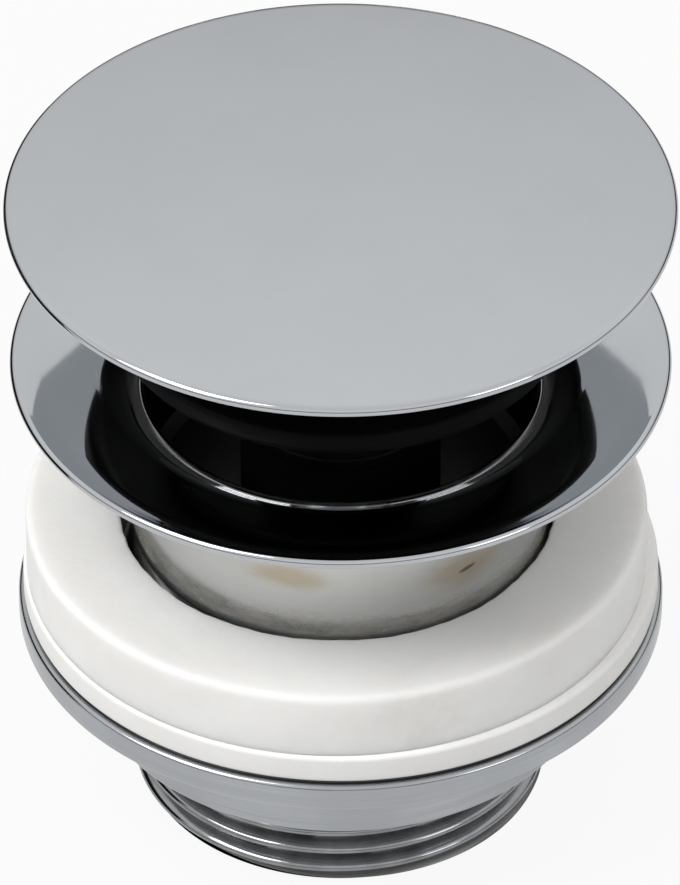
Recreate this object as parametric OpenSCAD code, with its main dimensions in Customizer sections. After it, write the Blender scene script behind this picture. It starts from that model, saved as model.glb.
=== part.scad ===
// Push-open basin waste, threaded G 1 1/4, shown with its plug raised.
// Millimetres, +Z up the axis, origin on the axis at the tail's lower end.

/* [Body] */
// outside radius of the tail thread and neck
tail_r = 20.955; // [18:0.005:26]
// wall of the tail round the water way
tail_wall = 2.755; // [2:0.005:4]
// height of the flange rim above the tail's end
rim_z = 51.4; // [44:0.1:80]
// flange radius
flange_r = 32.9; // [29:0.1:40]
// thickness of the flange at its rim
rim_t = 1.1; // [0.8:0.1:2]
// slope of the dish in degrees
dish_slope = 10; // [6:0.5:14]
// width of the flatter border inside the flange's rim
border_w = 2; // [1:0.1:3]
// wall of the neck round the throat
throat_wall = 1.65; // [1.4:0.05:2.4]
// depth of the wider throat below the flange's rim
throat_len = 15; // [12:0.5:17]
// radius of the curve that leads the dish down to the throat lip
sweep_arc = 11.5; // [9:0.5:13]
// slope of that curve where the lip begins
sweep_slope = 30; // [26:1:33]
// width of the rounded throat lip
lip_w = 1.1; // [0.8:0.05:1.4]
// depth of the flat seat below the rim
seat_drop = 3.8; // [3.4:0.1:5]
// step of the outlet's counterbore out from the water way
outlet_step = 0.4; // [0.3:0.1:1]
// depth of the outlet's counterbore
outlet_len = 6; // [4:0.5:6.2]
// free length of the tail thread below its relief groove
tail_free = 8.4; // [6:0.1:9]

/* [Spider] */
// height of the spider's lower face
spider_z = 14; // [13:0.5:18]
// height of the spider
spider_h = 6; // [4:0.5:7]
// radius of the spider's hub
hub_r = 10; // [9:0.5:12]
// number of webs
web_count = 4; // [3:1:6]
// web thickness
web_t = 3; // [2:0.5:4]

/* [Cartridge] */
// outside radius of the cartridge
cart_r = 10; // [9.5:0.1:11]
// radius of the cartridge's spigot
spigot_r = 6.5; // [6.3:0.1:7]
// length of the plug's stroke
stroke = 6.6; // [5:0.1:7]
// stem radius
stem_r = 4; // [3.5:0.1:4.2]
// outside radius of the rotor's fins
fin_r = 7.2; // [6.9:0.05:7.3]
// mean radius of the spring's coils
coil_r = 4.3; // [4.1:0.05:4.4]
// radius of the spring's wire
wire_r = 0.45; // [0.3:0.05:0.5]
// number of the spring's turns
coil_turns = 8; // [5:1:9]

/* [Plug] */
// cap radius
cap_r = 33.2; // [30:0.1:38]
// height of the cap's rim above the flange's rim
cap_lift = 19; // [18:0.1:24]
// thickness of the cap at its rim
cap_t = 1.1; // [0.9:0.1:2]
// rise of the cap's dome
dome = 1.6; // [1.4:0.1:3]
// distance from the throat lip out to where the seal lands
land_w = 2.05; // [1.6:0.05:3]
// overhang of the rubber seal past its lip
seal_over = 0.4; // [0.2:0.1:1]
// radius of the plug's carrier
carrier_r = 17; // [14:0.5:19]

/* [Clamping] */
// backnut radius
nut_r = 32.5; // [29:0.1:38]
// thickness of the backnut's disc
nut_disc_t = 3; // [2:0.1:5]
// wall of the backnut's hub
nut_wall = 4.495; // [3:0.005:7]
// height of the backnut's hub
nut_hub_h = 8.8; // [6:0.1:10]
// height of the backnut's lower face as shown
nut_z = 10.5; // [10.3:0.1:14]
// radius of the firm backing washer
washer_low_r = 32; // [28:0.1:37]
// radius of the soft sealing washer
washer_up_r = 31.2; // [27:0.1:36]
// thickness of the backing washer
washer_low_h = 3; // [2:0.1:5]
// thickness of the sealing washer
washer_up_h = 7.4; // [4:0.1:8]
// radial gap between the washers and the tail
washer_gap = 0.845; // [0.6:0.005:1.8]
// thickness of the slip ring
slip_t = 0.3; // [0.25:0.05:1]

/* [Clearances] */
// radial gap of the stem in its bush
run_gap = 0.08; // [0.02:0.01:0.1]
// radial gap of parts that are threaded or set into each other
set_gap = 0.05; // [0.02:0.01:0.1]
// gap between the moving parts of the cartridge
free_gap = 0.3; // [0.3:0.05:0.5]

/* [Hidden] */
$fn = 96;
eps = 0.01;
end_chamfer = 0.8;
groove_w = 0.8;
groove_d = 0.7;
rim_land = 0.5;
seat_z = rim_z - seat_drop;
// shares of the flange's overhang that the flat seat and its seal take
seat_share = 0.58;
seal_share = 0.495;
overhang = flange_r - tail_r;
seat_r = tail_r + seat_share * overhang;
flange_seal_r = tail_r + seal_share * overhang;
flange_seal_t = 1.6;
bore_r = tail_r - tail_wall;
outlet_r = bore_r + outlet_step;
throat_r = tail_r - throat_wall;
throat_z = rim_z - throat_len;
lip_start_r = throat_r + lip_w;
border_r = flange_r - rim_land - border_w;
border_z = rim_z - border_w * tan(dish_slope / 2);
// a wide arc leaves the dish and meets the lip's arc, which ends in the throat
sweep_r = lip_start_r + sweep_arc * (sin(sweep_slope) - sin(dish_slope));
dish_z = border_z - (border_r - sweep_r) * tan(dish_slope);
sweep_cr = sweep_r + sweep_arc * sin(dish_slope);
sweep_cz = dish_z - sweep_arc * cos(dish_slope);
lip_start_z = sweep_cz + sweep_arc * cos(sweep_slope);
lip_arc = lip_w / (1 - sin(sweep_slope));
lip_cr = lip_start_r + lip_arc * sin(sweep_slope);
lip_cz = lip_start_z - lip_arc * cos(sweep_slope);

// cartridge, from the spider up
spider_top = spider_z + spider_h;
gasket_t = 0.8;
cart_z = spider_top + gasket_t;
cart_floor = 1.6;
bush_drop = 5.8;
bush_t = 4;
bush_flange_t = 1.5;
cart_top = rim_z - bush_drop - bush_flange_t;
bush_z = cart_top - bush_t;
cart_bore_r = fin_r + free_gap;
rib_r = cart_bore_r - 1.2;
rib_w = 2.2;
spigot_bore_r = coil_r + wire_r + free_gap;
ring_seal_t = 1.6;
ring_seal_w = 1.4;
ring_seal_z = cart_top - 0.75 * ring_seal_t;
lock_t = 4;
lock_wall = 3.9;
lock_r = spigot_r + lock_wall;
lock_bevel = 0.9;
lock_washer_t = 0.8;
lock_z = spider_z - lock_washer_t - lock_t;
plug_end_z = outlet_len + 0.4;
end_plug_t = 2.4;
spigot_z = plug_end_z + 0.8;

// moving parts of the cartridge, open
head_h = 3.5;
rotor_h = 4;
head_top = bush_z - 0.1;
head_z = head_top - head_h;
rotor_z = head_z - rotor_h;
core_r = rib_r - 0.4;
pin_r = stem_r - 1;
clip_t = 0.8;
clip_z = rotor_z - clip_t;
stem_z = clip_z - 1;
tooth = 1.3;
teeth = 8;
fin_w = 2.6;
rib_gap_z = 2.2;
rib_z = rotor_z - stroke + rotor_h + rib_gap_z;

// plug, open
lip_r = lip_start_r + land_w;
seal_r = lip_r + seal_over;
lip_drop = 0.6;
seal_edge = 0.5;
pocket_r = 2.6;
pocket_roof = 1.2;
cap_rim_z = rim_z + cap_lift;
cap_under_z = cap_rim_z - cap_t;
lip_dish_z = sweep_cz + sqrt(sweep_arc * sweep_arc - (sweep_cr - lip_r) * (sweep_cr - lip_r));
lip_z = lip_dish_z + stroke + free_gap;
flap_t = 1.8;
flap_z = lip_z + lip_drop;
carrier_z = flap_z + flap_t;
plate_t = 1.2;
plate_z = flap_z - plate_t;
plate_r = 15;
jam_af = 13;
jam_z = cart_top + bush_flange_t + stroke + 0.5;
boss_r = 7;
boss_z = flap_z + 0.5;
dome_chord = cap_r - cap_t / 2;
dome_r = (dome_chord * dome_chord + dome * dome) / (2 * dome);

// clamping stack
nut_disc_z = nut_z + nut_hub_h;
slip_z = nut_disc_z + nut_disc_t;
washer_z = slip_z + slip_t;
washer_step_z = washer_z + washer_low_h;
washer_top_z = washer_step_z + washer_up_h;
nut_bore_r = tail_r + set_gap;
nut_hub_r = nut_bore_r + nut_wall;
washer_hole_r = tail_r + washer_gap;
washer_edge = 0.6;
slip_gap = washer_gap - 0.2;

// a ring standing on the axis
module ring(r_in, r_out, z, h) {
    translate([0, 0, z])
        rotate_extrude()
            translate([r_in, 0])
                square([r_out - r_in, h]);
}

// a ring with rounded outer edges
module soft_ring(r_in, r_out, z, h, e) {
    translate([0, 0, z])
        rotate_extrude() {
            translate([r_in, 0])
                square([r_out - e - r_in, h]);
            translate([r_out - e - eps, e])
                square([e + eps, h - 2 * e]);
            for (y = [e, h - e])
                translate([r_out - e, y])
                    circle(e);
        }
}

// the radial cross-section of the flange, neck and tail before the throat is opened
module body_outline() {
    polygon([
        [bore_r - 2, 0],
        [tail_r - end_chamfer, 0],
        [tail_r, end_chamfer],
        [tail_r, end_chamfer + tail_free],
        [tail_r - groove_d, end_chamfer + tail_free],
        [tail_r - groove_d, end_chamfer + tail_free + groove_w],
        [tail_r, end_chamfer + tail_free + groove_w],
        [tail_r, seat_z],
        [seat_r, seat_z],
        [flange_r - rim_t / 2, rim_z - rim_t],
        [flange_r - rim_t / 2, rim_z],
        [bore_r - 2, rim_z]]);
    translate([flange_r - rim_t / 2, rim_z - rim_t / 2])
        circle(rim_t / 2);
}

// the dish and the water way, left open above the lip's arc
module throat_cut() {
    polygon([
        [0, rim_z + 1],
        [flange_r - rim_land, rim_z + 1],
        [flange_r - rim_land, rim_z],
        [border_r, border_z],
        [sweep_r, dish_z],
        [0, dish_z]]);
    polygon([
        [0, -1],
        [bore_r, -1],
        [bore_r, throat_z - (throat_r - bore_r)],
        [throat_r, throat_z],
        [throat_r, rim_z],
        [0, rim_z]]);
    translate([0, -1])
        square([outlet_r, outlet_len + 1]);
    difference() {
        polygon([
            [throat_r - 1, lip_cz],
            [lip_cr, lip_cz],
            [lip_start_r, lip_start_z],
            [lip_start_r, dish_z + 0.5],
            [throat_r - 1, dish_z + 0.5]]);
        translate([lip_cr, lip_cz])
            circle(lip_arc);
    }
    difference() {
        polygon([
            [lip_start_r, lip_start_z],
            [sweep_r, dish_z],
            [sweep_r, dish_z + 0.5],
            [lip_start_r - 0.5, dish_z + 0.5],
            [lip_start_r - 0.5, lip_start_z + 0.5]]);
        translate([sweep_cr, sweep_cz])
            circle(sweep_arc);
    }
}

module spider_web() {
    translate([spigot_r + 1, -web_t / 2, spider_z])
        cube([bore_r - spigot_r - 0.4, web_t, spider_h]);
}

module body() {
    color([0.80, 0.81, 0.83]) {
        difference() {
            union() {
                rotate_extrude()
                    difference() {
                        body_outline();
                        throat_cut();
                    }
                for (i = [0 : web_count - 1])
                    rotate([0, 0, 360 * (i + 0.5) / web_count])
                        spider_web();
                translate([0, 0, spider_z])
                    cylinder(r = hub_r, h = spider_h);
            }
            translate([0, 0, spider_z - 1])
                cylinder(r = spigot_r + set_gap, h = spider_h + 2);
        }
    }
}

module flange_seal() {
    color([0.10, 0.10, 0.11])
        soft_ring(tail_r + set_gap, flange_seal_r, seat_z - flange_seal_t, flange_seal_t, flange_seal_t / 3);
}

// one guide rib of the cartridge, its lower end cut to a ramp
module guide_rib() {
    difference() {
        intersection() {
            ring(rib_r, cart_bore_r + 0.3, rib_z, bush_z - 0.4 - rib_z);
            translate([0, -rib_w / 2, rib_z])
                cube([cart_bore_r + 1, rib_w, bush_z - rib_z]);
        }
        translate([0, rib_w / 2, rib_z])
            rotate([-40, 0, 0])
                translate([0, -3 * rib_w, -3])
                    cube([cart_r, 3 * rib_w, 3]);
    }
}

module cartridge_housing() {
    color([0.06, 0.06, 0.07]) {
        difference() {
            union() {
                translate([0, 0, cart_z])
                    cylinder(r = cart_r, h = cart_top - cart_z);
                translate([0, 0, spigot_z])
                    cylinder(r = spigot_r, h = cart_z - spigot_z + eps);
            }
            translate([0, 0, cart_z + cart_floor])
                cylinder(r = cart_bore_r, h = cart_top);
            translate([0, 0, spigot_z - 1])
                cylinder(r = spigot_bore_r, h = cart_top);
            for (i = [0 : 11])
                rotate([0, 0, 30 * i])
                    translate([cart_r + 0.5, 0, cart_z - 1])
                        cylinder(r = 0.9, h = 5);
        }
        for (i = [0 : 3])
            rotate([0, 0, 90 * i])
                guide_rib();
    }
}

module guide_bush() {
    color([0.09, 0.09, 0.10]) {
        difference() {
            union() {
                translate([0, 0, bush_z])
                    cylinder(r = cart_bore_r - set_gap, h = bush_t + eps);
                soft_ring(0, cart_r - 0.2, cart_top, bush_flange_t, 0.4);
            }
            translate([0, 0, bush_z - 1])
                cylinder(r = stem_r + run_gap, h = bush_t + bush_flange_t + 2);
            ring(0, stem_r + ring_seal_w, ring_seal_z, ring_seal_t);
        }
    }
}

module bush_seal() {
    color([0.05, 0.05, 0.05])
        ring(stem_r + run_gap, stem_r + ring_seal_w - set_gap, ring_seal_z, ring_seal_t);
}

module housing_gasket() {
    color([0.12, 0.12, 0.12])
        ring(spigot_r + set_gap, hub_r - 0.4, spider_top, gasket_t);
}

module lock_washer() {
    color([0.72, 0.73, 0.75])
        ring(spigot_r + set_gap, hub_r - 0.2, spider_z - lock_washer_t, lock_washer_t);
}

module housing_locknut() {
    color([0.78, 0.62, 0.32]) {
        difference() {
            intersection() {
                translate([0, 0, lock_z])
                    cylinder(r = lock_r, h = lock_t, $fn = 6);
                translate([0, 0, lock_z - lock_bevel])
                    cylinder(r1 = lock_r + 2 * lock_bevel, r2 = lock_r - lock_bevel,
                        h = lock_t + 2 * lock_bevel);
            }
            translate([0, 0, lock_z - 1])
                cylinder(r = spigot_r + set_gap, h = lock_t + 2);
        }
    }
}

// closes the spigot and carries the spring
module end_plug() {
    color([0.78, 0.62, 0.32]) {
        difference() {
            union() {
                translate([0, 0, plug_end_z])
                    cylinder(r = spigot_r - 0.2, h = spigot_z - plug_end_z);
                translate([0, 0, spigot_z - eps])
                    cylinder(r = spigot_bore_r - set_gap, h = end_plug_t - 0.8);
            }
            translate([-spigot_r, -0.6, plug_end_z - 1])
                cube([2 * spigot_r, 1.2, 1.4]);
            translate([0, 0, plug_end_z - 1])
                cylinder(r = 1.2, h = end_plug_t + 2);
        }
    }
}

// coil height over the turns, with closed ends
function coil_z(t, n, h) =
    t < 1 ? wire_r + 2 * wire_r * t :
    t > n - 1 ? h - wire_r - 2 * wire_r * (n - t) :
    3 * wire_r + (h - 6 * wire_r) * (t - 1) / (n - 2);

module return_spring() {
    sides = 8;
    per_turn = 24;
    steps = coil_turns * per_turn;
    spring_z = spigot_z + end_plug_t - 0.8;
    spring_h = rotor_z - spring_z;
    points = [for (i = [0 : steps], j = [0 : sides - 1])
        let (t = i / per_turn,
            a = 360 * t,
            b = 360 * j / sides,
            r = coil_r + wire_r * cos(b))
        [r * cos(a), r * sin(a), spring_z + coil_z(t, coil_turns, spring_h) + wire_r * sin(b)]];
    skin = [for (i = [0 : steps - 1], j = [0 : sides - 1])
        let (k = (j + 1) % sides)
        [i * sides + j, i * sides + k, (i + 1) * sides + k, (i + 1) * sides + j]];
    first = [for (j = [sides - 1 : -1 : 0]) j];
    last = [for (j = [0 : sides - 1]) steps * sides + j];
    color([0.70, 0.71, 0.73])
        polyhedron(points, concat(skin, [first, last]), convexity = 10);
}

// dome, plate and rounded rim of the cap in section
module cap_outline() {
    intersection() {
        translate([0, cap_rim_z + dome - dome_r])
            circle(dome_r, $fn = 360);
        translate([0, cap_under_z])
            square([cap_r - cap_t / 2, cap_t + dome + 1]);
    }
    translate([cap_r - cap_t / 2, cap_under_z + cap_t / 2])
        circle(cap_t / 2);
}

module cap() {
    color([0.82, 0.83, 0.85]) {
        difference() {
            union() {
                rotate_extrude()
                    cap_outline();
                translate([0, 0, boss_z])
                    cylinder(r = boss_r, h = cap_under_z - boss_z + eps);
            }
            translate([0, 0, boss_z - 1])
                cylinder(r = stem_r + set_gap, h = cap_under_z - boss_z + 0.6);
        }
    }
}

module plug_carrier() {
    color([0.08, 0.08, 0.09]) {
        difference() {
            ring(boss_r + set_gap, carrier_r, carrier_z, cap_under_z - carrier_z);
            for (i = [0 : 7])
                rotate([0, 0, 45 * i])
                    translate([(boss_r + carrier_r) / 2, 0, carrier_z - eps])
                        cylinder(r = pocket_r, h = cap_under_z - carrier_z - pocket_roof + eps);
        }
    }
}

module cap_seal() {
    color([0.05, 0.05, 0.055])
        rotate_extrude()
            polygon([
                [boss_r + set_gap, flap_z],
                [lip_r - 2 * lip_drop, flap_z],
                [lip_r - lip_drop, lip_z],
                [lip_r, lip_z],
                [seal_r, lip_z + lip_drop],
                [seal_r, carrier_z - seal_edge],
                [seal_r - seal_edge, carrier_z],
                [boss_r + set_gap, carrier_z]]);
}

module seal_plate() {
    color([0.74, 0.75, 0.77])
        soft_ring(stem_r + set_gap, plate_r, plate_z, plate_t, 0.3);
}

module jam_nut() {
    color([0.74, 0.75, 0.77]) {
        difference() {
            translate([0, 0, jam_z])
                cylinder(r = jam_af / 2 / cos(30), h = plate_z - jam_z, $fn = 6);
            translate([0, 0, jam_z - 1])
                cylinder(r = stem_r + set_gap, h = plate_z - jam_z + 2);
        }
    }
}

module stem() {
    color([0.70, 0.71, 0.73]) {
        difference() {
            union() {
                translate([0, 0, head_z])
                    cylinder(r = stem_r, h = cap_under_z - 1 - head_z);
                translate([0, 0, stem_z])
                    cylinder(r = pin_r, h = head_z - stem_z + eps);
            }
            ring(pin_r - 0.6, pin_r + 1, clip_z, clip_t);
        }
    }
}

// saw teeth round the crown between the head and the rotor
module crown(grow) {
    intersection() {
        ring(pin_r + 1, core_r, head_z - 1, 2);
        for (i = [0 : teeth - 1])
            rotate([0, 0, 360 * (i + 0.5) / teeth])
                translate([0, -tooth / 2 - grow, head_z - tooth / 2 - grow])
                    rotate([45, 0, 0])
                        cube([core_r + 1, tooth + 2 * grow, tooth + 2 * grow]);
    }
}

module plunger_head() {
    color([0.86, 0.84, 0.78]) {
        difference() {
            union() {
                translate([0, 0, head_z])
                    cylinder(r = core_r, h = head_h);
                for (i = [0 : 3])
                    rotate([0, 0, 90 * i + 45])
                        intersection() {
                            translate([0, -fin_w / 2, head_z + 1])
                                cube([fin_r, fin_w, head_h - 1]);
                            translate([0, 0, head_z])
                                cylinder(r = fin_r, h = head_h);
                        }
            }
            translate([0, 0, head_z - 1])
                cylinder(r = stem_r + set_gap, h = head_h + 2);
            crown(0.1);
        }
    }
}

module ratchet_rotor() {
    color([0.88, 0.86, 0.80]) {
        difference() {
            union() {
                translate([0, 0, rotor_z])
                    cylinder(r = core_r, h = rotor_h - 0.05);
                for (i = [0 : 3])
                    rotate([0, 0, 90 * i + 45])
                        difference() {
                            intersection() {
                                translate([0, -fin_w / 2, rotor_z])
                                    cube([fin_r, fin_w, rotor_h - 0.2]);
                                translate([0, 0, rotor_z])
                                    cylinder(r = fin_r, h = rotor_h);
                            }
                            translate([core_r, -fin_w / 2, rotor_z + rotor_h - 2.2])
                                rotate([40, 0, 0])
                                    cube([3, 2 * fin_w, 4]);
                        }
                crown(0);
            }
            translate([0, 0, rotor_z - 1])
                cylinder(r = pin_r + set_gap, h = rotor_h + 3);
        }
    }
}

module stem_clip() {
    color([0.62, 0.63, 0.65]) {
        difference() {
            ring(pin_r - 0.6 + set_gap, pin_r + 0.6, clip_z, clip_t);
            translate([0, -1, clip_z - 1])
                cube([6, 2, 3]);
        }
    }
}

// soft washer that presses up against the basin
module sealing_washer() {
    color([0.93, 0.92, 0.90])
        soft_ring(washer_hole_r, washer_up_r, washer_step_z, washer_up_h, washer_edge);
}

module backing_washer() {
    color([0.92, 0.91, 0.89])
        soft_ring(washer_hole_r, washer_low_r, washer_z, washer_low_h, washer_edge);
}

module slip_ring() {
    color([0.30, 0.30, 0.31])
        ring(tail_r + slip_gap, washer_low_r - slip_t, slip_z, slip_t);
}

module backnut() {
    color([0.80, 0.81, 0.83]) {
        difference() {
            union() {
                soft_ring(0, nut_r, nut_disc_z, nut_disc_t, 0.5);
                soft_ring(0, nut_hub_r, nut_z, nut_hub_h + 0.6, 0.5);
            }
            translate([0, 0, nut_z - 1])
                cylinder(r = nut_bore_r, h = nut_hub_h + nut_disc_t + 2);
            translate([0, 0, nut_z - eps])
                cylinder(r1 = nut_bore_r + 0.8, r2 = nut_bore_r, h = 0.8);
        }
    }
}

body();
flange_seal();
cartridge_housing();
guide_bush();
bush_seal();
housing_gasket();
lock_washer();
housing_locknut();
end_plug();
return_spring();
cap();
plug_carrier();
cap_seal();
seal_plate();
jam_nut();
stem();
plunger_head();
ratchet_rotor();
stem_clip();
sealing_washer();
backing_washer();
slip_ring();
backnut();
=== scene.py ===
import math

import bmesh
import bpy
import numpy as np
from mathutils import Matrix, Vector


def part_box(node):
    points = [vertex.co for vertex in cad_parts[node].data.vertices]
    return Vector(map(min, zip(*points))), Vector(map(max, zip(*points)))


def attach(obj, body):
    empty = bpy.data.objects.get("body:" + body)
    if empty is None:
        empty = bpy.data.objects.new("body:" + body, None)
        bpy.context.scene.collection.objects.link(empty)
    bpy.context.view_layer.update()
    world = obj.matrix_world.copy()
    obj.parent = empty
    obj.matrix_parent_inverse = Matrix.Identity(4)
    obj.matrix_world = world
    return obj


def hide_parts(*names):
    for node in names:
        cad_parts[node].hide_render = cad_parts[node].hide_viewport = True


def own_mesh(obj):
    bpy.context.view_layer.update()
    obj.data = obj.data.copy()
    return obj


# Push-open basin waste. Lengths of the part are in millimetres from the tail's lower end, as in its source.
# Outer radii and heights are read from the frame's solids. Camera, lamps and stage are in metres.

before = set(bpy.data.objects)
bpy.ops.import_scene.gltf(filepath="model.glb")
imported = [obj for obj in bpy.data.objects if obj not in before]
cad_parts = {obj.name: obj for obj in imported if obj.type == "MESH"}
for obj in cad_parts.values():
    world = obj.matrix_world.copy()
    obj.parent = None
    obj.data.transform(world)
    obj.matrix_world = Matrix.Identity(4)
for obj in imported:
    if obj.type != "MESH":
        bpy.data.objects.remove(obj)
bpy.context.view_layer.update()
MM = 0.001
SEGMENTS = 256
FINE_SEGMENTS = 320
SMALL_SEGMENTS = 192

# sizes that the frame's boxes don't give
TAIL_R = 20.955
PITCH = 2.309
THREAD_TOP = 31.8
BORE_R = 18.2
THROAT_R = 19.305
SPIGOT_R = 6.5
HUB_R = 10.0
BOSS_R = 7.0
SET_GAP = 0.05
RUN_GAP = 0.08
WASHER_GAP = 0.845
SHADE_RING_GAP = 0.645


def extent(node):
    """Outer radius, lowest and highest point of a CAD node, in millimetres."""
    low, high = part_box(node)
    return round(high[0] / MM, 3), round(low[2] / MM, 3), round(high[2] / MM, 3)


STEM_R, STEM_Z, STEM_TOP = extent("stem")
CAP_UNDER = extent("plug_carrier")[2]
SEAT_Z = extent("flange_seal")[2]
WASHER_TOP = extent("sealing_washer")[2]


# sections and meshes

def soften(corners, steps=5):
    """A section's corners, each (r, z, fillet), with its fillets rounded."""
    out = []
    count = len(corners)
    for i, (r, z, fillet) in enumerate(corners):
        here = np.array([r, z])
        if not fillet:
            out.append((r, z))
            continue
        before = np.array(corners[i - 1][:2]) - here
        after = np.array(corners[(i + 1) % count][:2]) - here
        a = here + before * min(0.49, fillet / np.linalg.norm(before))
        b = here + after * min(0.49, fillet / np.linalg.norm(after))
        for t in np.linspace(0, 1, steps + 1):
            out.append(tuple((1 - t) ** 2 * a + 2 * t * (1 - t) * here + t * t * b))
    return out


def arc(r, z, radius, first, last, steps):
    """Points on a circle in the section, angles in degrees."""
    angles = np.radians(np.linspace(first, last, steps + 1))
    return [(r + radius * math.cos(a), z + radius * math.sin(a)) for a in angles]


def ring_section(node, inner, inside, outside):
    """Corners of a plain ring, with the fillets of its bore and of its rim."""
    outer, low, high = extent(node)
    return [(inner, low, inside), (outer, low, outside), (outer, high, outside), (inner, high, inside)]


def add_object(name, data):
    """An object in the scene from a mesh, a camera or a lamp."""
    obj = bpy.data.objects.new(name, data)
    bpy.context.scene.collection.objects.link(obj)
    return obj


def shade(mesh, sharp):
    """Smooth shading, with edges sharp past an angle in degrees."""
    mesh.shade_smooth()
    mesh.set_sharp_from_angle(angle=math.radians(sharp))


def skin(name, points, faces, sharp):
    """A welded object with its faces turned outwards, points in millimetres."""
    mesh = bpy.data.meshes.new(name)
    mesh.from_pydata((points.reshape(-1, 3) * MM).tolist(), [], faces)
    work = bmesh.new()
    work.from_mesh(mesh)
    bmesh.ops.remove_doubles(work, verts=work.verts, dist=1e-7)
    bmesh.ops.dissolve_degenerate(work, edges=work.edges, dist=1e-8)
    bmesh.ops.recalc_face_normals(work, faces=work.faces)
    work.to_mesh(mesh)
    work.free()
    shade(mesh, sharp)
    return add_object(name, mesh)


def turn_steps(segments):
    """Angles of one turn, in equal steps."""
    return np.linspace(0, 2 * math.pi, segments, endpoint=False)


def grid_mesh(name, radii, heights, centre=(0.0, 0.0), sharp=38):
    """A closed ring from section rows by segments, both arrays in millimetres."""
    rows, segments = radii.shape
    theta = turn_steps(segments)
    x = radii * np.cos(theta) + centre[0]
    y = radii * np.sin(theta) + centre[1]
    faces = []
    for i in range(rows):
        j = (i + 1) % rows
        on_axis = radii[i].max() < 1e-6 and radii[j].max() < 1e-6
        for k in range(0 if on_axis else segments):
            m = (k + 1) % segments
            faces.append((i * segments + k, i * segments + m, j * segments + m, j * segments + k))
    return skin(name, np.stack([x, y, heights], axis=-1), faces, sharp)


def lathe(name, section, segments=SEGMENTS, pitch=0.0):
    """Turns a closed section of (r, z) or (r, z, thread depth) rows round the axis."""
    rows = np.array([(*p, 0.0)[:3] for p in section])
    heights = np.repeat(rows[:, 1:2], segments, axis=1)
    radii = np.repeat(rows[:, 0:1], segments, axis=1)
    if pitch:
        crest_share = 1.25
        wave = 0.5 - 0.5 * np.cos(2 * math.pi * heights / pitch - turn_steps(segments))
        radii = radii - rows[:, 2:3] * wave ** crest_share
    return grid_mesh(name, radii, heights)


def hex_nut(name, node, hole):
    """A hexagon nut with its corners turned down at both ends and its bore chamfered."""
    low, high = extent(node)[1:]
    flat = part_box(node)[1][1] / MM
    theta = turn_steps(SMALL_SEGMENTS)
    one = np.ones_like(theta)
    edge = flat / np.cos((theta + math.pi / 6) % (math.pi / 3) - math.pi / 6)
    crown = 0.97 * flat
    drop = (edge - crown) * math.tan(math.radians(30))
    bevel = 0.4
    mouth = hole + bevel
    radii = np.array([hole * one, mouth * one, crown * one, edge, edge, crown * one, mouth * one, hole * one])
    heights = np.array([(low + bevel) * one, low * one, low * one, low + drop,
                        high - drop, high * one, high * one, (high - bevel) * one])
    return grid_mesh(name, radii, heights, sharp=20)


def block(name, low, high, turn, bevel):
    """A bevelled block turned round the axis, corners in millimetres."""
    work = bmesh.new()
    bmesh.ops.create_cube(work, size=1.0)
    for v in work.verts:
        for axis in range(3):
            v.co[axis] = (low[axis] if v.co[axis] < 0 else high[axis]) * MM
    bmesh.ops.bevel(work, geom=list(work.edges), offset=bevel * MM, segments=3, profile=0.5, affect="EDGES")
    mesh = bpy.data.meshes.new(name)
    work.to_mesh(mesh)
    work.free()
    cosine, sine = math.cos(turn), math.sin(turn)
    for v in mesh.vertices:
        x, y = v.co.x, v.co.y
        v.co.x, v.co.y = cosine * x - sine * y, sine * x + cosine * y
    shade(mesh, 40)
    return add_object(name, mesh)


def join(name, objects):
    """One object from several."""
    with bpy.context.temp_override(active_object=objects[0], object=objects[0],
                                   selected_editable_objects=objects, selected_objects=objects):
        bpy.ops.object.join()
    objects[0].name = name
    return objects[0]


# material helpers

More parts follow.
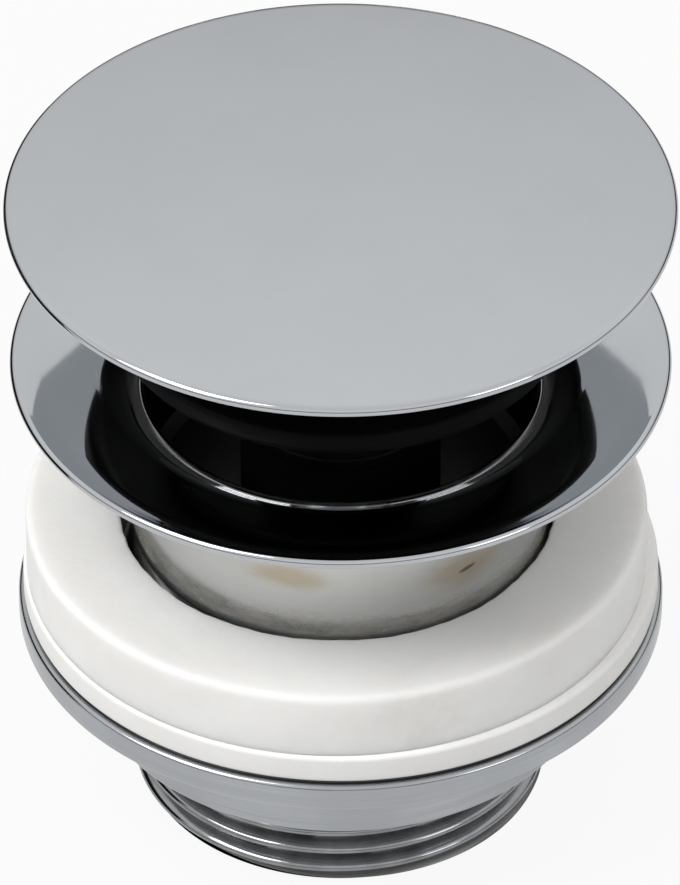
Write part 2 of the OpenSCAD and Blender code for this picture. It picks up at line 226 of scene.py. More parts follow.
class Shader:
    """A node material: each call adds a node and returns its output."""

    def __init__(self, name, **values):
        self.material = bpy.data.materials.new(name)
        self.material.use_nodes = True
        self.tree = self.material.node_tree
        self.surface = self.tree.nodes["Principled BSDF"]
        self.colour = None
        self.level = None
        for key, value in values.items():
            self.surface.inputs[key.replace("_", " ")].default_value = value
        self.place = self.add("ShaderNodeTexCoord").outputs["Object"]

    def add(self, kind, **settings):
        made = self.tree.nodes.new(kind)
        for key, value in settings.items():
            setattr(made, key, value)
        return made

    def feed(self, socket, value):
        if isinstance(value, bpy.types.NodeSocket):
            self.tree.links.new(value, socket)
        else:
            socket.default_value = value

    def set(self, key, value):
        self.feed(self.surface.inputs[key], value)

    def scaled(self, vector, factors):
        made = self.add("ShaderNodeVectorMath", operation="MULTIPLY")
        self.feed(made.inputs[0], vector)
        made.inputs[1].default_value = factors
        return made.outputs[0]

    def noise(self, scale, detail=4.0, rough=0.55, stretch=None, distortion=0.0):
        made = self.add("ShaderNodeTexNoise")
        self.feed(made.inputs["Vector"], self.scaled(self.place, stretch) if stretch else self.place)
        made.inputs["Scale"].default_value = scale
        made.inputs["Detail"].default_value = detail
        made.inputs["Roughness"].default_value = rough
        made.inputs["Distortion"].default_value = distortion
        return made.outputs["Fac"]

    def math(self, operation, a, b=0.0):
        made = self.add("ShaderNodeMath", operation=operation)
        self.feed(made.inputs[0], a)
        self.feed(made.inputs[1], b)
        return made.outputs[0]

    def times(self, first, *others):
        """The product of several values."""
        for other in others:
            first = self.math("MULTIPLY", first, other)
        return first

    def fade(self, value, low, high, to_low=0.0, to_high=1.0):
        made = self.add("ShaderNodeMapRange", interpolation_type="SMOOTHSTEP")
        for key, item in (("Value", value), ("From Min", low), ("From Max", high),
                          ("To Min", to_low), ("To Max", to_high)):
            self.feed(made.inputs[key], item)
        return made.outputs["Result"]

    def mix(self, factor, a, b):
        made = self.add("ShaderNodeMix", data_type="RGBA")
        self.feed(made.inputs[0], factor)
        for socket, value in ((made.inputs[6], a), (made.inputs[7], b)):
            self.feed(socket, value if isinstance(value, bpy.types.NodeSocket) else (*value, 1.0))
        return made.outputs[2]

    def axes(self):
        """The radius from the axis and the height in millimetres, and the angle from the front."""
        split = self.add("ShaderNodeSeparateXYZ")
        self.feed(split.inputs[0], self.scaled(self.place, (1 / MM, 1 / MM, 1 / MM)))
        length = self.add("ShaderNodeVectorMath", operation="LENGTH")
        self.feed(length.inputs[0], self.scaled(self.place, (1 / MM, 1 / MM, 0.0)))
        turn = self.math("ARCTAN2", split.outputs["X"], self.math("MULTIPLY", split.outputs["Y"], -1.0))
        return length.outputs["Value"], split.outputs["Z"], turn

    def spot(self, turn, height, centre, half, at, deep):
        """How far a point lies from an ellipse's centre round the axis, 1 on its edge."""
        across = self.math("DIVIDE", self.math("SUBTRACT", turn, centre), half)
        up = self.math("DIVIDE", self.math("SUBTRACT", height, at), deep)
        return self.math("SQRT", self.math("ADD", self.times(across, across), self.times(up, up)))

    def coat(self, mask, tint, share=1.0, dull=0.0):
        """Lays a tint over a plated surface where the mask is, and dulls it there."""
        self.colour = self.mix(self.times(mask, share), self.colour, tint)
        if dull:
            self.level = self.math("ADD", self.level, self.times(mask, dull))

    def bump(self, height, distance):
        made = self.add("ShaderNodeBump")
        made.inputs["Distance"].default_value = distance
        self.feed(made.inputs["Height"], height)
        self.set("Normal", made.outputs["Normal"])

    def plated(self, height, distance):
        """Closes a plated material, with its waviness."""
        self.set("Base Color", self.colour)
        self.set("Roughness", self.level)
        self.bump(height, distance)
        return self.material


# plated materials

CHROME = np.array((0.529, 0.547, 0.568))
# painted shade: a darker, bluer chrome for the cap's underside
CHROME_UNDER_SHADE = CHROME * (0.80, 0.815, 0.83)

# worn places on the neck, and a nick: angle from the front and half width in radians, height and half height
WORN_SPOTS = ((-0.245, 0.25, 39.3, 1.8), (0.625, 0.27, 37.8, 2.4), (-1.9, 0.12, 38.5, 1.2),
              (2.5, 0.14, 39.5, 1.4))
NICK = (0.64, 0.055, 37.6, 0.28)
# drop of the nick for each radian
NICK_SLANT = -3.5


def chrome_base(name, rough=0.045, tone=1.0):
    """Bright plate with faint smears and hairline scratches."""
    s = Shader(name, Metallic=1.0)
    smear = s.noise(95.0, 5.0, 0.6)
    fine = s.noise(900.0, 3.0, 0.6, stretch=(1.0, 0.18, 1.0))
    scratch = s.fade(fine, 0.66, 0.74)
    s.colour = s.mix(s.fade(smear, 0.35, 0.75), CHROME * tone, CHROME * tone * 0.976)
    s.level = s.fade(smear, 0.38, 0.78, rough, rough + 0.05)
    s.level = s.math("ADD", s.level, s.times(scratch, 0.05))
    return s


def cap_plate():
    """Polished plate, with painted shade on the cap's plain underside."""
    s = chrome_base("chrome_cap", 0.035)
    height = s.axes()[1]
    # painted shade: the cap's underside is made darker, where shade falls under the cap
    s.coat(s.fade(height, CAP_UNDER + 0.2, CAP_UNDER), CHROME_UNDER_SHADE)
    return s.plated(s.noise(60.0, 2.0, 0.4), 0.0000012)


def nut_plate():
    """Plate over turning lines, unevenly polished, and darker overall as painted shade."""
    # painted shade: the nut's whole plate is darker than the other chrome, for the dim surroundings it
    # reflects
    tone = 0.88
    s = chrome_base("chrome_nut", 0.14, tone)
    lines = s.noise(420.0, 4.0, 0.65, stretch=(0.07, 0.07, 5.0))
    cloud = s.noise(75.0, 3.0, 0.5, stretch=(1.0, 1.0, 0.2))
    s.coat(s.fade(cloud, 0.35, 0.65), CHROME * tone * 0.80, 0.6)
    s.coat(s.fade(lines, 0.35, 0.7), CHROME * tone * 0.85, 0.7)
    s.level = s.math("ADD", s.level, s.fade(lines, 0.3, 0.7, 0.0, 0.06))
    return s.plated(lines, 0.000008)


def neck_wear(s, radius, height, turn):
    """The neck's satin finish, a film above the washer, places rubbed to the brass and a nick."""
    ragged = s.noise(260.0, 5.0, 0.6, stretch=(1.0, 1.0, 2.4))
    outside = s.times(s.fade(radius, TAIL_R - 0.855, TAIL_R - 0.355),
                      s.fade(radius, TAIL_R + 0.645, TAIL_R + 0.245))
    above = s.fade(height, THREAD_TOP, THREAD_TOP + 0.8)
    neck = s.times(outside, above, s.fade(ragged, 0.25, 0.7, 0.7, 1.0))
    s.coat(neck, (0.56, 0.565, 0.555), dull=0.11)
    low = s.fade(height, WASHER_TOP + 3.2, WASHER_TOP + 0.5)
    film = s.times(neck, low, s.fade(ragged, 0.3, 0.7, 0.4, 0.68))
    s.coat(film, (0.40, 0.385, 0.345), dull=0.15)
    s.set("Metallic", s.math("SUBTRACT", 1.0, s.times(film, 0.8)))
    worn = 0.0
    for spot in WORN_SPOTS:
        ragged_edge = s.math("ADD", s.spot(turn, height, *spot), s.times(ragged, 0.7))
        worn = s.math("ADD", worn, s.fade(ragged_edge, 1.5, 0.65))
    s.coat(s.times(s.math("MINIMUM", worn, 1.0), outside), (0.44, 0.36, 0.235), 0.65, 0.12)
    slant = s.math("ADD", height, s.times(s.math("SUBTRACT", turn, NICK[0]), NICK_SLANT))
    nick = s.fade(s.math("ADD", s.spot(turn, slant, *NICK), s.times(ragged, 0.5)), 1.4, 0.8)
    s.coat(s.times(nick, outside), (0.10, 0.08, 0.055), 0.8)


def water_way(s, radius, height, shade_mottle):
    """Painted shade: the inside, up to the throat's lip, painted near black, and rougher there."""
    throat = s.times(s.fade(radius, THROAT_R + 0.695, THROAT_R + 0.395),
                     s.fade(height, THREAD_TOP + 1.2, THREAD_TOP + 1.7))
    inside = s.math("MAXIMUM", s.fade(radius, BORE_R + 0.65, BORE_R + 0.2), throat)
    inside = s.times(inside, s.fade(height, SEAT_Z + 1.0, SEAT_Z + 0.4))
    # painted shade: the inside is painted near black, where shade falls in the bore
    s.coat(inside, s.mix(shade_mottle, (0.012, 0.012, 0.012), (0.030, 0.0295, 0.028)), dull=0.34)


def tail_painted_shade(s, radius, height, shade_mottle):
    """Painted shade on the thread, darker still in its roots and at the tail's lower end, with rougher plate
    there.
    """
    below = s.fade(height, THREAD_TOP, THREAD_TOP - 1.0)
    outer = s.fade(radius, BORE_R + 0.6, BORE_R + 1.0)
    thread = s.times(outer, below)
    # painted shade: the thread's plate is darkened, for the dark it reflects near the floor
    s.coat(thread, (0.195, 0.201, 0.205), s.fade(shade_mottle, 0.3, 0.75, 0.55, 0.85), 0.07)
    root = s.times(s.fade(radius, TAIL_R - 0.355, TAIL_R - 1.155), outer, below)
    # painted shade in the thread's roots
    s.coat(root, (0.085, 0.086, 0.085), s.fade(shade_mottle, 0.3, 0.8, 0.55, 0.9), 0.18)
    # painted shade: the tail's lower end is darkened, for the contact shadow at the floor
    s.coat(s.fade(height, 1.1, 0.6), (0.15, 0.15, 0.15), 0.8, 0.24)


def body_plate():
    """Chrome outside, worn on the neck, and rougher with painted shade in the water way, on the thread and
    its roots and at the tail's end.
    """
    s = chrome_base("chrome_body")
    radius, height, turn = s.axes()
    shade_mottle = s.noise(260.0, 6.0, 0.65)
    neck_wear(s, radius, height, turn)
    water_way(s, radius, height, shade_mottle)
    tail_painted_shade(s, radius, height, shade_mottle)
    return s.plated(s.noise(70.0, 3.0, 0.5), 0.000004)


# other materials

def metal(name, light, dark, rough, lay):
    """Turned or drawn metal with a fine lay along one direction."""
    s = Shader(name, Metallic=1.0)
    lines = s.noise(420.0, 4.0, 0.6, stretch=lay)
    cloud = s.noise(180.0, 4.0, 0.6)
    s.set("Base Color", s.mix(s.fade(cloud, 0.3, 0.75), light, dark))
    s.set("Roughness", s.fade(lines, 0.3, 0.75, rough, rough + 0.14))
    s.bump(lines, 0.00001)
    return s.material


def moulded(name, light, dark, rough, shine=0.42):
    """Moulded rubber or plastic with a fine skin and faint bloom."""
    s = Shader(name, Specular_IOR_Level=shine)
    cloud = s.noise(110.0, 5.0, 0.6)
    grain = s.noise(1400.0, 3.0, 0.6)
    s.set("Base Color", s.mix(s.fade(cloud, 0.35, 0.75), dark, light))
    s.set("Roughness", s.fade(cloud, 0.3, 0.8, rough, rough + 0.16))
    s.bump(grain, 0.000012)
    return s.material


def foam():
    """Off-white closed-cell washer: pores, faint cloudiness and handling marks."""
    s = Shader("white_washer", Subsurface_Weight=0.6, Subsurface_Radius=(1.0, 0.95, 0.86),
               Subsurface_Scale=0.003, Specular_IOR_Level=0.2)
    cloud = s.noise(70.0, 5.0, 0.6)
    stain = s.fade(s.noise(34.0, 6.0, 0.65, distortion=0.8), 0.56, 0.72)
    pores = s.noise(1500.0, 3.0, 0.55)
    colour = s.mix(s.fade(cloud, 0.3, 0.75), (0.845, 0.84, 0.825), (0.79, 0.782, 0.762))
    s.set("Base Color", s.mix(s.times(stain, 0.35), colour, (0.66, 0.635, 0.595)))
    s.set("Roughness", s.fade(pores, 0.3, 0.7, 0.46, 0.66))
    s.bump(s.math("ADD", s.times(pores, 0.35), s.noise(240.0, 4.0, 0.6)), 0.00011)
    return s.material


LOOKS = {
    "nut": nut_plate(),
    "cap": cap_plate(),
    "body": body_plate(),
    "brass": metal("brass", (0.66, 0.47, 0.20), (0.50, 0.34, 0.14), 0.22, (0.25, 0.25, 4.0)),
    "steel": metal("steel", (0.56, 0.565, 0.575), (0.46, 0.465, 0.475), 0.16, (0.3, 0.3, 4.0)),
    "spring_steel": metal("spring_steel", (0.42, 0.425, 0.435), (0.30, 0.305, 0.315), 0.22, (3.0, 3.0, 0.6)),
    "black_rubber": moulded("black_rubber", (0.0040, 0.0040, 0.0041), (0.0022, 0.0022, 0.0023), 0.48, 0.05),
    "black_plastic": moulded("black_plastic", (0.0045, 0.0045, 0.0047), (0.0026, 0.0026, 0.0027), 0.42, 0.08),
    "pale_plastic": moulded("pale_plastic", (0.70, 0.67, 0.57), (0.62, 0.585, 0.49), 0.38),
    # painted shade: near-black plastic for the ring in the gap under the washers
    "grey_plastic": moulded("grey_plastic", (0.055, 0.055, 0.057), (0.032, 0.032, 0.034), 0.40),
    "white_washer": foam(),
    "white_plastic": moulded("white_plastic", (0.845, 0.84, 0.825), (0.80, 0.792, 0.772), 0.45, 0.22),
}


def dress(obj, look):
    """Gives an object one of the looks."""
    obj.data.materials.clear()
    obj.data.materials.append(LOOKS[look])


def piece(obj, body, look, slot, *nodes):
    """Gives a made piece its look and its place in the frame."""
    dress(obj, look)
    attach(obj, body)
    if nodes:
        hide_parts(*nodes)
    return obj


# body: threaded tail, neck, dished flange and rounded throat

THREAD_DEPTH = 1.42
RUN_OUT = 1.2
END_CHAMFER = 0.4
OUTLET_STEP = 0.4
OUTLET_LEN = 6.0
END_INNER_R = 18.9
END_OUTER_R = 20.2
NECK_FILLET = 0.5
SEAT_MID_R = 24.0
SEAT_R = 27.88
SEAT_FILLET = 1.2
UNDER_R = 31.9
UNDER_Z = 50.06
FLANGE_R, _, RIM_TOP = extent("body")
RIM_ROUND = 0.55
DISH_R = FLANGE_R - 0.7
DISH_Z = RIM_TOP - 0.01
DISH_SLOPE = 10.0
BORDER_W = 2.6
SWEEP_ARC = 11.5
SWEEP_Z = 38.84
LIP_ARC = 2.2
LIP_SLOPE = 30.0
THROAT_Z = 36.4


def tail_rows():
    """The tail's outside with its thread, which runs out below the neck."""
    rows = []
    for z in np.arange(0.0, THREAD_TOP + 0.4, 0.2):
        crest = min(TAIL_R, TAIL_R - END_CHAMFER + z)
        depth = max(0.0, THREAD_DEPTH - (TAIL_R - crest))
        rows.append((crest, z, depth * np.clip((THREAD_TOP - z) / RUN_OUT, 0, 1)))
    return rows


def flange_rows():
    """The neck, the flange's seat and underside, and its rounded rim."""
    neck_top = SEAT_Z - NECK_FILLET
    rows = [(TAIL_R, z) for z in np.linspace(THREAD_TOP + 0.6, neck_top, 10)]
    rows += arc(TAIL_R + NECK_FILLET, neck_top, NECK_FILLET, 180, 90, 5)[1:]
    rows += soften([(SEAT_MID_R, SEAT_Z, 0), (SEAT_R, SEAT_Z, SEAT_FILLET), (UNDER_R, UNDER_Z, 0)])
    return rows + arc(FLANGE_R - RIM_ROUND, RIM_TOP - RIM_ROUND, RIM_ROUND, -75, 98, 14)


def dish_rows():
    """The dish, which steepens inside its border, then the sweep and the lip down to the throat."""
    apart = SWEEP_ARC - LIP_ARC
    lip_r = THROAT_R + LIP_ARC
    lip_z = SWEEP_Z + apart * math.cos(math.radians(LIP_SLOPE))
    sweep_r = lip_r + apart * math.sin(math.radians(LIP_SLOPE))
    dish_end = sweep_r - SWEEP_ARC * math.sin(math.radians(DISH_SLOPE))
    step = 0.2
    rows = []
    r, z = DISH_R, DISH_Z
    while r > dish_end + step / 2:
        rows.append((r, z))
        r -= step
        z -= step * math.tan(math.radians(DISH_SLOPE) * min(1.0, (DISH_R + step - r) / BORDER_W))
    rows += arc(sweep_r, SWEEP_Z, SWEEP_ARC, 90 + DISH_SLOPE, 90 + LIP_SLOPE, 12)
    return rows + arc(lip_r, lip_z, LIP_ARC, 90 + LIP_SLOPE, 180, 18)[1:]


def bore_rows():
    """The throat, the water way and the outlet's counterbore."""
    step_z = THROAT_Z - (THROAT_R - BORE_R)
    outlet_r = BORE_R + OUTLET_STEP
    rows = [(THROAT_R, z) for z in np.linspace(THROAT_Z + 10, THROAT_Z, 5)]
    rows += [(BORE_R, z) for z in np.linspace(step_z, OUTLET_LEN + 0.2, 8)]
    return rows + [(BORE_R, OUTLET_LEN), (outlet_r, OUTLET_LEN), (outlet_r, 0.3)]


end_face = [(END_INNER_R, 0.0), (END_OUTER_R, 0.0)]
body = lathe("body_turned", end_face + tail_rows() + flange_rows() + dish_rows() + bore_rows(), pitch=PITCH)
piece(body, "waste_body", "body", "chrome", "body")


# spider: hub and webs that carry the cartridge

WEB_COUNT = 4
WEB_HALF = 1.5


def spider():
    """Hub and webs joined into one piece."""
    low = extent("lock_washer")[2]
    high = extent("housing_gasket")[1]
    bore = SPIGOT_R + SET_GAP
    hub = soften([(bore, low, 0.3), (HUB_R, low, 0.6), (HUB_R, high, 0.4), (bore, high, 0.3)])
    parts = [lathe("spider_hub", hub, segments=128)]
    for i in range(WEB_COUNT):
        turn = 2 * math.pi * (i + 0.5) / WEB_COUNT
        near = (HUB_R - 1.5, -WEB_HALF, low)
        far = (BORE_R + 0.2, WEB_HALF, high)
        parts.append(block(f"web_{i}", near, far, turn, 0.4))
    return join("spider", parts)


piece(spider(), "waste_body", "body", "chrome", "body")


# plug: domed cap, rubber seal and its fixings

CAP_R = extent("cap")[0]
CAP_ROUND = 0.55
CAP_FLAT_R = 31.5
DOME = 1.6
CAP_BORE_TOP = 68.9
STEM_PITCH = 1.25
STEM_THREAD_DEPTH = 0.5
STEM_RUN_OUT = 0.8


def cap_shell():
    """The domed cap with its rounded rim and the boss under it."""
    foot, top = extent("cap")[1:]
    chord = CAP_R - CAP_ROUND
    dome_r = (chord ** 2 + DOME ** 2) / (2 * DOME)
    bore = STEM_R + SET_GAP
    radii = np.linspace(0, chord - 0.35, 24)
    rows = [(r, top - dome_r + math.sqrt(dome_r ** 2 - r ** 2)) for r in radii]
    rows += arc(chord, CAP_UNDER + CAP_ROUND, CAP_ROUND, 82, -90, 14)
    rows += soften([(CAP_FLAT_R, CAP_UNDER, 0), (BOSS_R, CAP_UNDER, 0.5), (BOSS_R, foot, 0.3),
                    (bore, foot, 0.2), (bore, CAP_BORE_TOP, 0)])
    return lathe("cap_shell", rows + [(0.0, CAP_BORE_TOP)], FINE_SEGMENTS)


def seal_moulded():
    """The rubber seal with the lip that lands on the dish."""
    outer, low, high = extent("cap_seal")
    inner = BOSS_R + SET_GAP
    flap = low + 0.6
    section = [(inner, flap, 0.2), (outer - 1.6, flap, 0.5), (outer - 1.0, low, 0.3), (outer - 0.4, low, 0.3),
               (outer, flap, 0.4), (outer, high, 0.6), (inner, high, 0.1)]
    return lathe("seal_moulded", soften(section), segments=224)


def stem_turned():
    """The stem: pin with its clip's groove, plain shank and the thread for the jam nut and the cap."""
    groove, groove_top = extent("stem_clip")[1:]
    shoulder = extent("plunger_head")[1]
    thread = extent("jam_nut")[1] - 0.5
    pin = STEM_R - 1.0
    root = pin - 0.6
    bevel = 0.3
    rows = [(0.0, STEM_Z), (pin - bevel, STEM_Z), (pin, STEM_Z + bevel), (pin, groove), (root, groove),
            (root, groove_top), (pin, groove_top), (pin, shoulder), (STEM_R - bevel, shoulder),
            (STEM_R, shoulder + bevel)]
    rows += [(STEM_R, z) for z in np.linspace(shoulder + 1.0, thread, 8)]
    for z in np.arange(thread + 0.1, STEM_TOP - 0.5, 0.1):
        rows.append((STEM_R, z, STEM_THREAD_DEPTH * np.clip((z - thread) / STEM_RUN_OUT, 0, 1)))
    rows += [(STEM_R - 0.4, STEM_TOP), (0.0, STEM_TOP)]
    return lathe("stem_turned", rows, segments=96, pitch=STEM_PITCH)


piece(cap_shell(), "plug", "cap", "chrome", "cap")
piece(seal_moulded(), "plug", "black_rubber", "black_rubber", "cap_seal")
plate = lathe("seal_plate_turned", soften(ring_section("seal_plate", STEM_R + SET_GAP, 0.1, 0.35)),
              SMALL_SEGMENTS)
piece(plate, "plug", "black_plastic", "black_plastic", "seal_plate")
jam_nut = hex_nut("jam_nut_cut", "jam_nut", STEM_R + SET_GAP)
piece(jam_nut, "plug", "black_plastic", "black_plastic", "jam_nut")
piece(stem_turned(), "plug", "steel", "steel", "stem")


# cartridge: spring, seals and nut

WIRE_R = 0.45
COIL_TURNS = 8
SPRING_R, SPRING_Z, SPRING_TOP = extent("return_spring")
SPRING_H = SPRING_TOP - SPRING_Z


def coil():
    """Closed-end compression spring between the end plug and the rotor."""
    sides = 14
    steps = COIL_TURNS * 56
    turns = np.linspace(0, COIL_TURNS, steps + 1)
    first = WIRE_R + 2 * WIRE_R * turns
    last = SPRING_H - WIRE_R - 2 * WIRE_R * (COIL_TURNS - turns)
    between = 3 * WIRE_R + (SPRING_H - 6 * WIRE_R) * (turns - 1) / (COIL_TURNS - 2)
    rise = np.where(turns < 1, first, np.where(turns > COIL_TURNS - 1, last, between))
    around = turn_steps(sides)
    radius = SPRING_R - WIRE_R + WIRE_R * np.cos(around)[None, :]
    angle = 2 * math.pi * turns[:, None]
    z = SPRING_Z + rise[:, None] + WIRE_R * np.sin(around)[None, :]
    points = np.stack([radius * np.cos(angle), radius * np.sin(angle), z], axis=-1)
    faces = []
    for i in range(steps):
        for j in range(sides):
            k = (j + 1) % sides
            faces.append((i * sides + j, i * sides + k, (i + 1) * sides + k, (i + 1) * sides + j))
    faces += [tuple(range(sides))[::-1], tuple(steps * sides + j for j in range(sides))]
    return skin("spring_coil", points, faces, 50)


spring = piece(coil(), "waste_body", "spring_steel", "spring_steel", "return_spring")
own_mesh(spring)

locknut = hex_nut("locknut_cut", "housing_locknut", SPIGOT_R + SET_GAP)
piece(locknut, "waste_body", "brass", "brass", "housing_locknut")

for node, name, inner, edge in (("flange_seal", "flange_seal_moulded", TAIL_R + SET_GAP, 0.5),
                                ("bush_seal", "bush_seal_moulded", STEM_R + RUN_GAP, 0.3),
                                ("housing_gasket", "gasket_cut", SPIGOT_R + SET_GAP, 0.2)):
    ring = lathe(name, soften(ring_section(node, inner, edge / 2, edge)), SMALL_SEGMENTS)
    piece(ring, "waste_body", "black_rubber", "black_rubber", node)


# clamping: soft washer, backing washer, a near-black ring painted as the shade of the gap under them, and
# backnut

WASHER_HOLE = TAIL_R + WASHER_GAP
WASHER_PLACE = (-0.45, -0.3)
# where the soft washer sways, from its hole and its foot, and how wide its hole's cut is
SOFT_FROM = 2.2
SOFT_WIDTH = 6.0
SOFT_RISE = 3.0
CUT_WIDTH = 0.7
NUT_HUB_R = 25.5
NUT_DISC_T = 3.0


def ripple(theta, *waves):
    """A sum of sines round the axis, each wave (height, count, phase)."""
    return sum(height * np.sin(count * theta + phase) for height, count, phase in waves)


def divided(section, longest):
    """A closed section with its long stretches divided."""
    rows = []
    for (r, z), (next_r, next_z) in zip(section, section[1:] + section[:1]):
        parts = max(1, int(math.hypot(next_r - r, next_z - z) / longest))
        rows += [(r + (next_r - r) * k / parts, z + (next_z - z) * k / parts) for k in range(parts)]
    return np.array(rows)


def washer():
    """The soft washer, a little out of round, with an uneven cut hole."""
    outer, low, high = extent("sealing_washer")
    corners = [(WASHER_HOLE, low, 0.2), (outer, low, 0.12), (outer, high, 0.9), (WASHER_HOLE, high, 0.5)]
    rows = divided(soften(corners, 7), 0.7)
    theta = turn_steps(360)[None, :]
    radii = np.repeat(rows[:, 0:1], theta.size, axis=1)
    heights = np.repeat(rows[:, 1:2], theta.size, axis=1)
    outside = np.clip((radii - WASHER_HOLE - SOFT_FROM) / SOFT_WIDTH, 0, 1)
    up = np.clip((heights - low - 0.2) / SOFT_RISE, 0, 1)
    sway = ripple(theta, (0.10, 2, 0.6), (0.06, 5, 2.1), (0.035, 11, 0.3))
    radii = radii + outside * up * sway * (0.6 + 0.4 * np.sin(heights * 0.7 + theta))
    cut = ripple(theta, (0.10, 5, 1.0), (0.05, 13, 0.0), (0.03, 43, 2.0), (0.02, 71, 0.7))
    at_hole = 1 - np.clip((radii - WASHER_HOLE) / CUT_WIDTH, 0, 1)
    radii = radii + at_hole * (0.12 + cut) * up
    sag = 0.06 + ripple(theta, (0.05, 3, 1.2))
    heights = heights - up * sag * np.clip((heights - high + SOFT_RISE) / SOFT_RISE, 0, 1)
    return grid_mesh("washer_soft", radii, heights, WASHER_PLACE, 60)


def backnut():
    """A disc with a round hub, its bore chamfered at both ends."""
    outer, low, high = extent("backnut")
    bore = TAIL_R + SET_GAP
    disc = high - NUT_DISC_T
    section = [(bore, low + 0.9, 0), (bore + 0.8, low, 0.1), (NUT_HUB_R, low, 0.6), (NUT_HUB_R, disc, 0.5),
               (outer, disc, 0.6), (outer, high, 0.6), (bore + 0.6, high, 0.1), (bore, high - 0.6, 0)]
    return lathe("backnut_turned", soften(section, 7), FINE_SEGMENTS)


piece(washer(), "washers", "white_washer", "white_washer", "sealing_washer")
backing_section = soften(ring_section("backing_washer", WASHER_HOLE, 0.3, 0.5), 7)
backing = lathe("backing_moulded", backing_section, FINE_SEGMENTS)
piece(backing, "washers", "white_plastic", "white_plastic", "backing_washer")
# painted shade: a near-black ring fills the gap between the washers and the nut, where shade falls
shade_ring = lathe("shade_ring_cut", soften(ring_section("slip_ring", TAIL_R + SHADE_RING_GAP, 0.05, 0.1)))
piece(shade_ring, "washers", "grey_plastic", "grey_plastic", "slip_ring")
piece(backnut(), "nut", "nut", "chrome", "backnut")


# finishes of the pieces that keep their solids

for node, look in {"cartridge_housing": "black_plastic", "guide_bush": "black_plastic",
                   "plug_carrier": "black_plastic", "lock_washer": "steel", "end_plug": "brass",
                   "plunger_head": "pale_plastic", "ratchet_rotor": "pale_plastic",
                   "stem_clip": "spring_steel"}.items():
    dress(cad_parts[node], look)


# camera, measured from the ellipses of the cap, flange, nut and tail

TARGET_Z = 0.04006
ELEVATION = math.radians(38.53)
DISTANCE = 1.10

camera = add_object("camera", bpy.data.cameras.new("camera"))
camera.data.lens = 447.5
camera.data.sensor_width = 36.0
camera.data.shift_x = -0.0008
camera.data.clip_start = 0.02
camera.data.clip_end = 30.0
camera.location = (0.0, -DISTANCE * math.cos(ELEVATION), TARGET_Z + DISTANCE * math.sin(ELEVATION))
camera.rotation_euler = (math.pi / 2 - ELEVATION, 0.0, 0.0)
bpy.context.scene.camera = camera
bpy.context.scene.view_settings.view_transform = "Standard"


# floor and surroundings

FLOOR_HALF = 6.0
FLOOR_Z = -0.0001
# share of plain white in the floor, seen by the camera and in reflections, which keep more of its shadow
CAMERA_WHITE = 0.92
MIRROR_WHITE = 0.6
FLAG_X = -0.12
FLAG_Y = (-0.011, 0.30)
FLAG_H = 0.068
# light of the room by height; towards the front, between two places on Y, the height is read as raised
ROOM_STOPS = ((0.0, 0.02), (0.25, 0.05), (0.40, 0.70), (0.46, 0.785), (0.76, 0.965), (1.0, 0.85))
BACK_Y = 0.72
FRONT_Y = 0.25
FRONT_RAISE = 0.16


def sheet(name, corners, shader):
    """A flat stage piece."""
    mesh = bpy.data.meshes.new(name)
    mesh.from_pydata(corners, [], [(0, 1, 2, 3)])
    mesh.materials.append(shader.material)
    obj = add_object(name, mesh)
    return obj


def floor():
    """A floor that is nearly white to the camera, darker in reflections, and keeps a faint shadow."""
    s = Shader("floor", Roughness=0.9, Specular_IOR_Level=0.1)
    s.set("Base Color", s.mix(s.noise(3.0), (0.50, 0.50, 0.50), (0.52, 0.52, 0.52)))
    path = s.add("ShaderNodeLightPath")
    white = s.add("ShaderNodeEmission")
    both = s.add("ShaderNodeMixShader")
    seen = s.times(path.outputs["Is Camera Ray"], CAMERA_WHITE)
    for ray in ("Is Glossy Ray", "Is Transmission Ray"):
        seen = s.math("MAXIMUM", seen, s.times(path.outputs[ray], MIRROR_WHITE))
    s.feed(both.inputs[0], seen)
    s.feed(both.inputs[1], s.surface.outputs[0])
    s.feed(both.inputs[2], white.outputs[0])
    s.feed(s.tree.nodes["Material Output"].inputs["Surface"], both.outputs[0])
    signs = ((-1, -1), (1, -1), (1, 1), (-1, 1))
    sheet("floor", [(x * FLOOR_HALF, y * FLOOR_HALF, FLOOR_Z) for x, y in signs], s)


def flag():
    """A black card at the left that only reflections show, for the dark line along the rims."""
    s = Shader("flag", Roughness=0.9, Specular_IOR_Level=0.0)
    s.set("Base Color", s.mix(s.noise(30.0), (0.008, 0.008, 0.008), (0.012, 0.012, 0.012)))
    near, far = FLAG_Y
    corners = [(FLAG_X, near, 0.0), (FLAG_X, far, 0.0), (FLAG_X, far, FLAG_H), (FLAG_X, near, FLAG_H)]
    obj = sheet("flag", corners, s)
    obj.visible_camera = False
    obj.visible_diffuse = False
    obj.visible_shadow = False


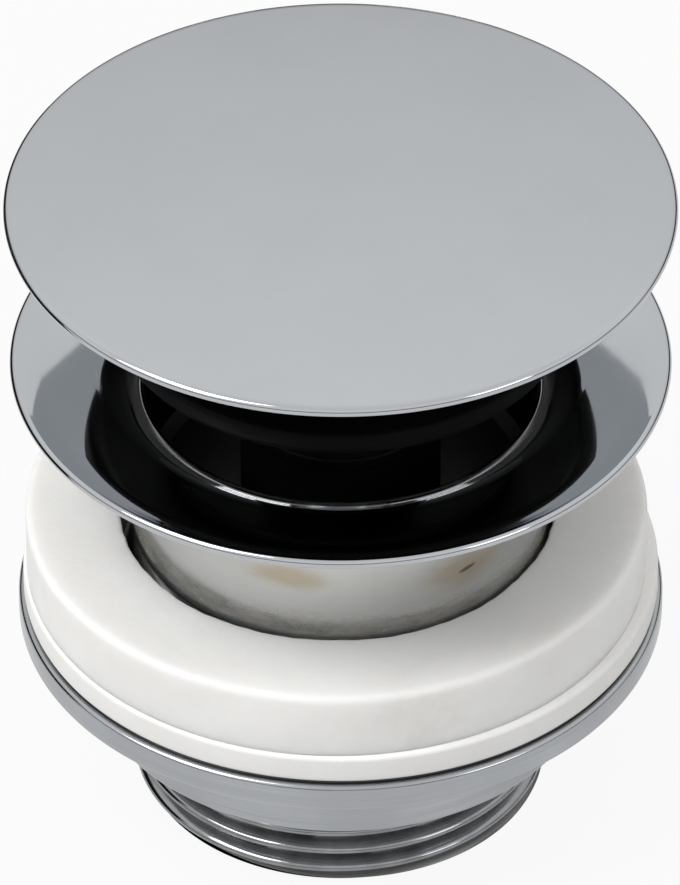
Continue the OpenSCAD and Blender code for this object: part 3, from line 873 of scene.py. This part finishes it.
def surroundings():
    """A pale room, darker towards the horizon and darkest low at the back."""
    world = bpy.data.worlds.new("room")
    bpy.context.scene.world = world
    world.use_nodes = True
    tree = world.node_tree
    split = tree.nodes.new("ShaderNodeSeparateXYZ")
    front = tree.nodes.new("ShaderNodeMapRange")
    height = tree.nodes.new("ShaderNodeMath")
    rise = tree.nodes.new("ShaderNodeValToRGB")
    front.interpolation_type = "SMOOTHSTEP"
    for key, value in (("From Min", BACK_Y), ("From Max", FRONT_Y), ("To Min", 0.0), ("To Max", FRONT_RAISE)):
        front.inputs[key].default_value = value
    for at, _ in ROOM_STOPS[1:-1]:
        rise.color_ramp.elements.new(at)
    for stop, (at, level) in zip(rise.color_ramp.elements, ROOM_STOPS):
        stop.position = at
        stop.color = (level, level, level, 1.0)
    for output, socket in ((tree.nodes.new("ShaderNodeTexCoord").outputs["Generated"], split.inputs[0]),
                           (split.outputs["Y"], front.inputs["Value"]),
                           (split.outputs["Z"], height.inputs[0]),
                           (front.outputs["Result"], height.inputs[1]),
                           (height.outputs[0], rise.inputs[0]),
                           (rise.outputs[0], tree.nodes["Background"].inputs["Color"])):
        tree.links.new(output, socket)


# lamps

LAMP_AIM = np.array((0.0, 0.0, 0.03))
WINDOW_Y = 1.30
WINDOW_BAR = 0.025
WINDOW_LOW = 0.11
WINDOW_STEP = 0.07


def lamp(name, place, size, power):
    """A soft box that faces the object."""
    data = bpy.data.lights.new(name, "AREA")
    data.shape = "RECTANGLE"
    data.size, data.size_y = size
    data.energy = power
    obj = add_object(name, data)
    obj.location = place
    away = np.array(place) - LAMP_AIM
    obj.rotation_euler = (math.acos(away[2] / np.linalg.norm(away)), 0.0, math.atan2(away[0], -away[1]))


floor()
flag()
surroundings()
lamp("key", (-0.62, -0.33, 0.92), (0.6, 0.6), 7.9)
lamp("rim", (0.75, -0.60, 0.45), (0.35, 0.35), 0.8)
for i in range(3):
    window_z = WINDOW_LOW + WINDOW_STEP * i
    lamp(f"window_left_{i}", (-0.12, WINDOW_Y, window_z), (0.07, WINDOW_BAR), 0.009)
    lamp(f"window_right_{i}", (0.09, WINDOW_Y, window_z), (0.11, WINDOW_BAR), 0.0275)
